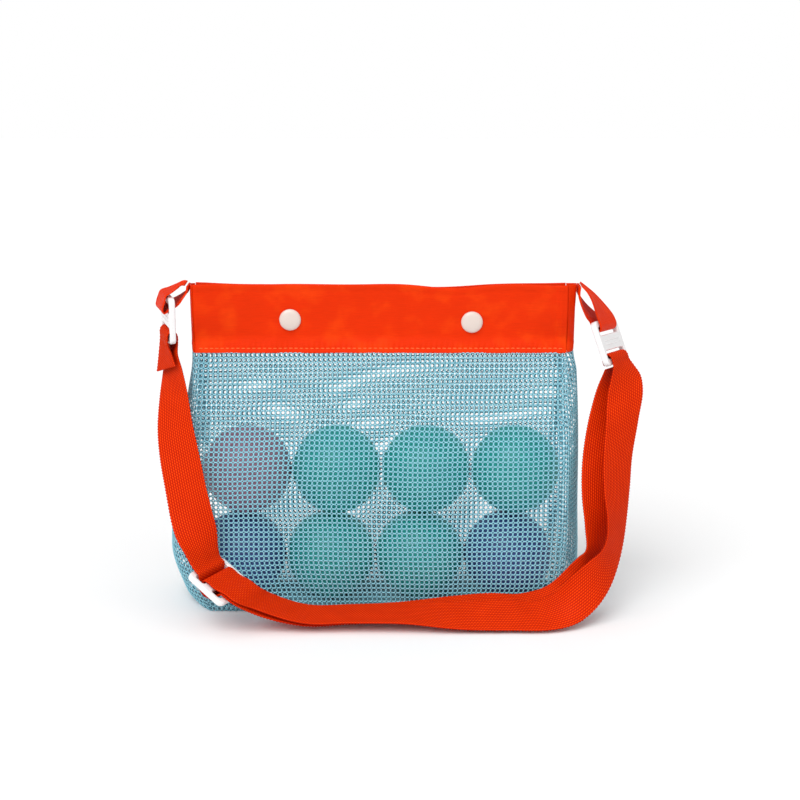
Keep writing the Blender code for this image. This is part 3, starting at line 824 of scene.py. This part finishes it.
class Ring:
    """A three-bar ring's frame: its middle, its directions along and across the strap, its outer face
    and the length of its middle plate."""

    def __init__(self, middle, along, across, outward_sign, plate):
        self.middle = Vector(middle)
        self.along = Vector(along).normalized()
        self.across = Vector(across)
        self.across -= self.along * self.across.dot(self.along)
        self.across.normalize()
        self.outward = self.along.cross(self.across) * outward_sign
        self.plate = plate

    def row(self, along, outward, width):
        """Route row at a place given along the ring and out of its face."""
        place = self.middle + self.along * along + self.outward * outward
        return (*place, *self.across, width)


LEFT_RING = Ring((-123.8, 0.0, 172.3), (0, 0, -1), (-0.292, 0.956, 0), -1, RING_PLATE)
RIGHT_RING = Ring((134.0, 0.0, 157.7), (0.31, -0.25, -0.9), (0.5, 0.86, -0.1), 1, RING_PLATE)
SLIDER = Ring((-92.0, -49.0, 27.0), (0.74, -0.42, -0.52), (-0.5, -0.83, -0.04), -1, SLIDER_PLATE)


def rounded_loop(width, length, middle, radius, steps):
    """Corner points of a rounded rectangle centred at (0, middle)."""
    points = []
    for corner, (sx, sy) in enumerate(((1, 1), (-1, 1), (-1, -1), (1, -1))):
        for step in range(steps + 1):
            angle = math.radians(90 * corner + 90 * step / steps)
            points.append((sx * (width / 2 - radius) + radius * math.cos(angle),
                           middle + sy * (length / 2 - radius) + radius * math.sin(angle)))
    return points


def build_ring(name, node, ring, body):
    """A moulded frame with rounded edges, two slots, and two low ribs along its middle plate."""
    round_off = 0.9
    slot = (RING_LENGTH - 2 * RING_BAR - ring.plate) / 2
    slot_middle = ring.plate / 2 + slot / 2
    loops = [rounded_loop(RING_WIDTH, RING_LENGTH, 0.0, 3.4, 8),
             rounded_loop(RING_SLOT_WIDTH, slot, slot_middle, 1.2, 5),
             rounded_loop(RING_SLOT_WIDTH, slot, -slot_middle, 1.2, 5)]
    outline = bpy.data.curves.new(name, "CURVE")
    outline.dimensions = "2D"
    outline.fill_mode = "BOTH"
    outline.extrude = (RING_THICKNESS / 2 - round_off) * MM
    outline.bevel_depth = round_off * MM
    outline.bevel_resolution = 4
    outline.offset = -round_off * MM
    for loop in loops:
        spline = outline.splines.new("POLY")
        spline.points.add(len(loop) - 1)
        for point, (x, y) in zip(spline.points, loop):
            point.co = (x * MM, y * MM, 0.0, 1.0)
        spline.use_cyclic_u = True
    maker = add_object(name + "_outline", outline)
    bpy.context.view_layer.update()
    mesh = bpy.data.meshes.new_from_object(maker.evaluated_get(bpy.context.evaluated_depsgraph_get()))
    bpy.data.objects.remove(maker)
    mesh.materials.clear()
    mesh.materials.append(white_plastic)
    mesh.shade_smooth()
    facing = ring.across.cross(ring.along)
    turn = Matrix((ring.across, ring.along, facing)).transposed().to_4x4()
    place = Matrix.Translation(ring.middle * MM) @ turn
    mesh.transform(place)
    declare(add_object(name, mesh), body, node)
    rib_out = RING_THICKNESS / 2 - 0.08
    for face_name, face in (("outer", 1), ("inner", -1)):
        for rib_name, along in (("upper", -1.15), ("lower", 1.15)):
            rib = low_rib(f"{name}_{face_name}_{rib_name}_rib")
            rib.data.transform(place @ Matrix.Translation((0, along * MM, face * rib_out * MM)))
            declare(rib, body)


def low_rib(name):
    """A low rounded rib along X, tapering to nothing at its ends."""
    steps, sides = 24, 12
    length = RING_WIDTH - 9.0
    half_width = 0.42
    height = 0.30
    share = np.linspace(-1, 1, steps)
    size = np.sqrt(np.maximum(1 - share**8, 0.0)) * 0.999 + 0.001
    angles = np.arange(sides) / sides * 2 * np.pi
    points = np.stack((np.repeat((share * length / 2)[:, None], sides, axis=1),
                       half_width * size[:, None] * np.cos(angles),
                       height * size[:, None] * np.sin(angles)), axis=-1)
    return add_mesh(name, points, grid_quads(steps, sides, closed=True), white_plastic)


# ---- tabs and strap

def wrap_rows(ring, bar, slot_way, off_bar, width, first_face):
    """Rows that carry a strip round one bar: down one face, through the slot and up the other face."""
    arc_middle = RING_BAR / 2 - 0.2
    places = [(-1.2, off_bar)]
    for step in range(5):
        angle = math.pi / 2 - step * math.pi / 4
        places.append((arc_middle + off_bar * math.cos(angle), off_bar * math.sin(angle)))
    places.append((-1.2, -off_bar))
    return [ring.row(bar + slot_way * along, first_face * out, width) for along, out in places]


# rows of the strap's route: a place on its middle line, then the direction across it
OUTER_RUN = [
    (-66.3, -52.5, 15.8, -0.38, -0.92, -0.02), (-44.0, -50.5, 7.9, -0.1, -0.99, -0.08),
    (-16.0, -49.5, 7.5, -0.02, -1.0, -0.09), (15.0, -50.0, 8.0, -0.02, -0.99, -0.16),
    (44.0, -51.0, 7.0, 0.0, -0.95, -0.32), (73.5, -51.0, 7.4, 0.04, -0.9, -0.43),
    (96.0, -50.5, 7.4, 0.14, -0.9, -0.42), (105.0, -49.5, 10.6, 0.22, -0.76, -0.61),
    (115.5, -49.0, 18.5, 0.38, -0.3, -0.87), (125.5, -48.0, 29.5, 0.5, 0.25, -0.83),
    (131.8, -45.5, 39.5, 0.5, 0.65, -0.57), (135.0, -43.0, 49.5, 0.5, 0.8, -0.33),
    (136.4, -39.0, 61.0, 0.55, 0.81, -0.2), (136.5, -34.0, 78.5, 0.69, 0.71, -0.1),
    (137.2, -28.5, 95.0, 0.75, 0.65, -0.08), (140.0, -21.0, 114.0, 0.83, 0.55, 0.02),
    (142.3, -13.5, 132.0, 0.88, 0.48, 0.04), (142.6, -10.0, 139.5, 0.76, 0.65, -0.04),
    (141.5, -6.9, 144.4, 0.58, 0.81, -0.08),
]
INNER_RUN = [
    (135.0, -9.0, 130.8, 0.84, 0.54, 0.03), (131.6, -16.0, 113.5, 0.93, 0.36, 0.0),
    (128.8, -24.0, 93.6, 0.97, 0.25, 0.0), (127.4, -30.0, 74.2, 0.91, 0.4, -0.1),
    (127.2, -35.0, 55.6, 0.77, 0.62, -0.15), (125.6, -39.0, 40.0, 0.64, 0.66, -0.4),
    (119.5, -41.5, 28.5, 0.5, 0.15, -0.85), (111.5, -41.5, 19.0, 0.32, -0.45, -0.83),
    (102.0, -41.0, 12.0, 0.2, -0.78, -0.59), (84.3, -41.2, 8.0, 0.08, -0.92, -0.38),
    (63.6, -41.2, 8.3, 0.0, -0.93, -0.36), (44.0, -41.5, 7.3, 0.0, -0.95, -0.31),
    (15.0, -43.2, 6.2, 0.0, -0.99, -0.15), (-16.0, -44.5, 5.1, 0.0, -1.0, -0.08),
    (-44.0, -48.5, 5.4, -0.1, -0.99, -0.07), (-67.7, -52.5, 13.2, -0.38, -0.92, -0.02),
]
LEFT_RUN = [
    (-103.0, -43.0, 43.0, -0.68, -0.7, 0.1), (-107.5, -38.5, 57.0, -0.93, -0.2, -0.05),
    (-111.7, -34.5, 75.5, -0.98, 0.1, 0.0), (-115.4, -30.0, 94.0, -0.96, 0.22, -0.08),
    (-118.6, -24.0, 112.6, -0.88, 0.42, -0.22), (-120.2, -15.5, 130.5, -0.72, 0.62, -0.3),
    (-121.3, -8.5, 142.0, -0.55, 0.77, -0.3), (-122.0, -4.2, 150.5, -0.4, 0.88, -0.22),
]
LEFT_SEWN_END = [(-125.6, -5.6, 151.0, -0.42, 0.87, -0.24), (-124.6, -9.4, 143.5, -0.55, 0.77, -0.3)]


def with_width(rows):
    return [(*row, WEBBING_WIDTH) for row in rows]


def slider_rows(places):
    return [SLIDER.row(along, outward, WEBBING_WIDTH) for along, outward in places]


def strip_frames(route):
    """Unit directions across and out of a route's rows."""
    across = unit(route[:, 3:6])
    return across, unit(np.cross(np.gradient(route[:, :3], axis=0), across))


def weave_places(share, width, lengths):
    """Places across and along a strip, which its material is laid out by."""
    return np.meshgrid(share * width, lengths)


def webbing_strip(name, route, travelled=0.0):
    """Woven webbing: rounded cords run along it and cross under and over the picks, edges scalloped."""
    across, normal = strip_frames(route)
    lengths = lengths_along(route[:, :3]) + travelled
    columns = 2 * WEAVE_ENDS + 1
    share = np.linspace(-0.5, 0.5, columns)
    cord = np.arange(columns) // 2
    crest = np.arange(columns) % 2 == 1
    turn = 2 * np.pi * lengths[:, None] / WEAVE_PITCH + np.pi * cord[None, :]
    wave = 0.5 + 0.5 * np.cos(turn)
    # relief lifts the cords and also sets the webbing's painted highlight and painted shade
    relief = np.where(crest[None, :], 0.45 + 0.55 * wave, 0.12 + 0.12 * wave)
    back_relief = np.where(crest[None, :], 0.45 + 0.55 * (1 - wave), 0.12)
    scallop = 0.22 * np.cos(2 * np.pi * lengths / WEAVE_PITCH) - 0.15
    width = route[:, 6][:, None] + 2 * scallop[:, None] * np.clip((np.abs(share) - 0.4) * 10, 0, 1)[None, :]
    centre = route[:, None, :3] + across[:, None] * (share[None, :] * width)[..., None]
    edge = np.clip((0.5 - np.abs(share)) / 0.05, 0, 1) ** 0.6
    half = (WEBBING_THICKNESS / 2 - WEAVE_RELIEF) * (0.25 + 0.75 * edge)[None, :]
    out = normal[:, None] * (half + WEAVE_RELIEF * relief)[..., None]
    inner = normal[:, None] * -(half + WEAVE_RELIEF * back_relief)[..., None]
    weave = weave_places(share, WEBBING_WIDTH, lengths)
    piece = strip_solid(name, centre, out, inner, webbing_orange, relief, weave)
    return piece, lengths[-1] - travelled


def build_strap():
    """One length of webbing: the run sewn to the slider, and the run that passes back through it."""
    step = WEAVE_PITCH / 4
    sewn_loop = [(2.0, -2.95), (-2.8, -2.95), (-4.2, -2.35), (-4.75, 0.0), (-4.2, 2.35), (-2.8, 2.95),
                 (3.0, 3.1), (11.5, 5.3), (16.0, 5.6)]
    outer_rows = slider_rows(sewn_loop) + with_width(OUTER_RUN)
    outer_rows += wrap_rows(RIGHT_RING, BAR_PLACE, -1, WEBBING_OFF_BAR, WEBBING_WIDTH, 1)
    outer, length = webbing_strip("strap_outer_webbing", dense_route(outer_rows, step))
    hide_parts("strap_outer_run")
    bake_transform(outer)

    through_slider = [(16.0, 3.6), (11.5, 3.3), (9.0, 3.0), (7.2, 0.6), (5.6, -2.6), (3.2, -4.8),
                      (-3.6, -4.9), (-6.2, -2.9), (-7.5, 0.6), (-9.0, 3.0), (-11.5, 3.3)]
    inner_start = RIGHT_RING.row(BAR_PLACE + 3.2, -WEBBING_OFF_BAR, WEBBING_WIDTH)
    inner_rows = [inner_start] + with_width(INNER_RUN) + slider_rows(through_slider) + with_width(LEFT_RUN)
    inner_rows += wrap_rows(LEFT_RING, BAR_PLACE, -1, WEBBING_OFF_BAR, WEBBING_WIDTH, -1)
    inner_rows += with_width(LEFT_SEWN_END)
    route = dense_route(inner_rows, step)
    slider_middle = np.array(SLIDER.row(-0.2, -4.85, 0)[:3])
    split = int(np.argmin(np.linalg.norm(route[:, :3] - slider_middle, axis=1)))
    inner, length = webbing_strip("strap_inner_webbing", route[:split + 1])
    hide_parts("strap_inner_run")
    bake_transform(inner)
    left, left_length = webbing_strip("strap_left_webbing", route[split:], length)
    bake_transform(left)


def satin_strip(name, rows, node):
    """A folded satin ribbon: pleated where it is gathered and sewn, flat round the ring's bar."""
    route = dense_route(rows, 0.6)
    across, normal = strip_frames(route)
    lengths = lengths_along(route[:, :3])
    share = np.linspace(-0.5, 0.5, 40)
    gathered = np.clip((RIBBON_WIDTH - route[:, 6]) / (RIBBON_WIDTH - RIBBON_SEWN_WIDTH), 0, 1)[:, None]
    pleats = 0.30 * gathered * np.sin(share * 2 * np.pi * 3.5)[None, :]
    waves = 0.18 * np.sin(lengths / 3.1)[:, None] * np.sin(share * 7 + 1)[None, :] * gathered
    centre = route[:, None, :3] + across[:, None] * (share[None, :] * route[:, 6][:, None])[..., None]
    centre = centre + normal[:, None] * (pleats + waves)[..., None]
    edge = np.where(np.abs(share) > 0.499, 0.35, np.where(np.abs(share) > 0.47, 0.8, 1.0))
    hem = 0.14 * bump(np.abs(share), 0.43, 0.02)
    out = normal[:, None] * (RIBBON_THICKNESS / 2 * edge + hem)[None, :, None]
    weave = weave_places(share, RIBBON_WIDTH, lengths)
    piece = strip_solid(name, centre, out, -out, satin_orange, np.zeros_like(weave[0]), weave)
    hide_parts(node)
    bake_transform(piece)


def build_tabs():
    """Ribbon loops that hold the rings: sewn to the top of each side band, both ends together."""
    sewn = RIBBON_SEWN_WIDTH
    left_rows = [(-111.4, 0.0, 191.5, 0, 1, 0, sewn), (-111.9, 0.0, 188.2, 0, 1, 0, 15.0),
                 (-115.2, 0.0, 184.6, -0.12, 1, 0, 19.0), (-119.0, 0.2, 181.6, -0.25, 0.97, 0, 23.0)]
    loose_loop = [(4.1, -1.6), (4.6, 0.0), (5.3, 1.5), (6.8, 3.0), (7.2, 4.0), (6.2, 4.8), (3.0, 4.5),
                  (0.4, 3.6)]
    left_rows += [LEFT_RING.row(-BAR_PLACE + along, outward, RIBBON_WIDTH) for along, outward in loose_loop]
    left_rows += [(-126.2, -0.6, 186.4, -0.27, 0.96, 0, 23.5), (-122.2, -0.4, 188.4, -0.2, 1, 0, 21.0),
                  (-118.0, -0.2, 190.8, -0.1, 1, 0, 17.5), (-114.4, 0.0, 192.6, 0, 1, 0, 15.0),
                  (-112.7, 0.0, 192.3, 0, 1, 0, sewn)]
    satin_strip("left_tab_ribbon", left_rows, "left_tab")

    right_rows = [(115.3, 0.0, 191.2, 0, 1, 0, sewn), (115.0, 0.0, 187.0, 0, 1, 0, 15.0),
                  (117.4, 0.5, 180.5, 0.15, 1, 0, 18.0), (122.6, 2.2, 173.5, 0.35, 0.93, -0.05, 22.5)]
    right_rows += wrap_rows(RIGHT_RING, -BAR_PLACE, 1, RIBBON_OFF_BAR, RIBBON_WIDTH, -1)
    right_rows += [(128.5, 0.8, 177.0, 0.4, 0.9, -0.05, 23.0), (123.2, 0.2, 184.8, 0.2, 1, 0, 19.0),
                   (118.9, 0.0, 189.4, 0.05, 1, 0, 16.0), (116.5, 0.0, 191.7, 0, 1, 0, 15.0)]
    satin_strip("right_tab_ribbon", right_rows, "right_tab")


# ---- balls

def build_balls():
    """Hollow moulded balls: a fine parting ridge round the middle and a small moulding mark on top."""
    rings, steps = 64, 128
    latitude = np.linspace(-np.pi / 2, np.pi / 2, rings + 1)[:, None]
    longitude = (np.arange(steps) / steps * 2 * np.pi)[None, :]
    colours = {"under_ball_1": "blue", "under_ball_2": "teal", "under_ball_3": "teal", "under_ball_4": "blue",
               "top_ball_1": "mauve", "top_ball_2": "teal", "top_ball_3": "teal", "top_ball_4": "teal"}
    for number, (node, colour) in enumerate(sorted(colours.items())):
        low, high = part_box(node)
        middle = np.array((low + high) / 2) / MM
        tilt = np.array(Matrix.Rotation(0.5 + 0.9 * number, 3, "X") @ Matrix.Rotation(0.7 * number, 3, "Y"))
        ridge = 0.16 * np.exp(-((latitude * BALL_DIAMETER / 2) / 0.55) ** 2)
        mark = -0.35 * np.exp(-(((np.pi / 2 - latitude) * BALL_DIAMETER / 2 - 2.6) / 0.5) ** 2)
        radius = BALL_DIAMETER / 2 - 0.16 + ridge + mark
        points = np.stack((radius * np.cos(latitude) * np.cos(longitude),
                           radius * np.cos(latitude) * np.sin(longitude),
                           radius * np.sin(latitude) + 0 * longitude), axis=-1)
        points = points @ tilt.T + middle
        quads = grid_quads(rings + 1, steps, closed=True)
        piece = add_mesh(f"{node}_moulded", points, quads, ball_materials[colour])
        declare(piece, node, node)


# ---- studio

def build_studio():
    scene = bpy.context.scene
    scene.view_settings.view_transform = "Standard"
    world = bpy.data.worlds.new("studio_light")
    world.use_nodes = True
    nodes, links = world.node_tree.nodes, world.node_tree.links
    background = nodes["Background"]
    background.inputs["Color"].default_value = (1.0, 1.0, 1.0, 1.0)
    strength = nodes.new("ShaderNodeMapRange")
    strength.inputs["To Min"].default_value = AMBIENT_LIGHT
    strength.inputs["To Max"].default_value = 1.0
    links.new(nodes.new("ShaderNodeLightPath").outputs["Is Camera Ray"], strength.inputs["Value"])
    links.new(strength.outputs["Result"], background.inputs["Strength"])
    scene.world = world

    floor_material = Look("pale_floor", (0.95, 0.95, 0.95), 0.9, specular=0.1).material
    half = 3000.0
    points = [(-half, -half, -0.2), (half, -half, -0.2), (half, half, -0.2), (-half, half, -0.2)]
    floor = add_mesh("floor", points, [(0, 1, 2, 3)], floor_material)

    for name, azimuth, elevation, angle, strength in SOFT_LIGHTS:
        lamp = bpy.data.lights.new(name, "SUN")
        lamp.angle = math.radians(angle)
        lamp.energy = strength
        thing = add_object(name, lamp)
        turn, lift = math.radians(azimuth), math.radians(elevation)
        source = Vector((math.sin(turn) * math.cos(lift), -math.cos(turn) * math.cos(lift), math.sin(lift)))
        thing.rotation_euler = (-source).to_track_quat("-Z", "Y").to_euler()


def build_camera():
    camera = bpy.data.cameras.new("camera")
    camera.sensor_width = SENSOR_WIDTH
    camera.lens = SENSOR_WIDTH * CAMERA_DISTANCE / CAMERA_VIEW_WIDTH
    camera.clip_start = 0.01
    camera.clip_end = 50.0
    thing = add_object("camera", camera)
    elevation = math.radians(CAMERA_ELEVATION)
    away = Vector((0.0, -math.cos(elevation), math.sin(elevation))) * CAMERA_DISTANCE
    thing.location = (Vector(CAMERA_AIM) + away) * MM
    thing.rotation_euler = (math.pi / 2 - elevation, 0.0, 0.0)
    bpy.context.scene.camera = thing


def dress_cad_snaps():
    """The hidden halves of the snaps keep their CAD shape."""
    for side_name, _ in SIDES:
        for part in ("snap_socket", "snap_stud"):
            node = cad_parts[f"{side_name}_{part}"]
            node.data.materials.clear()
            node.data.materials.append(shaded_snap_plastic)


build_studio()
build_camera()
build_strap()
build_tabs()
build_ring("left_three_bar_ring", "left_ring", LEFT_RING, "carry_strap")
build_ring("right_three_bar_ring", "right_ring", RIGHT_RING, "carry_strap")
build_ring("strap_slider", "adjuster_slider", SLIDER, "adjuster")
build_face_nets()
build_side_nets()
build_bottom_net()
build_seam_allowances()
build_corner_stitches()
build_face_bands()
build_side_bands()
build_snaps()
dress_cad_snaps()
build_balls()
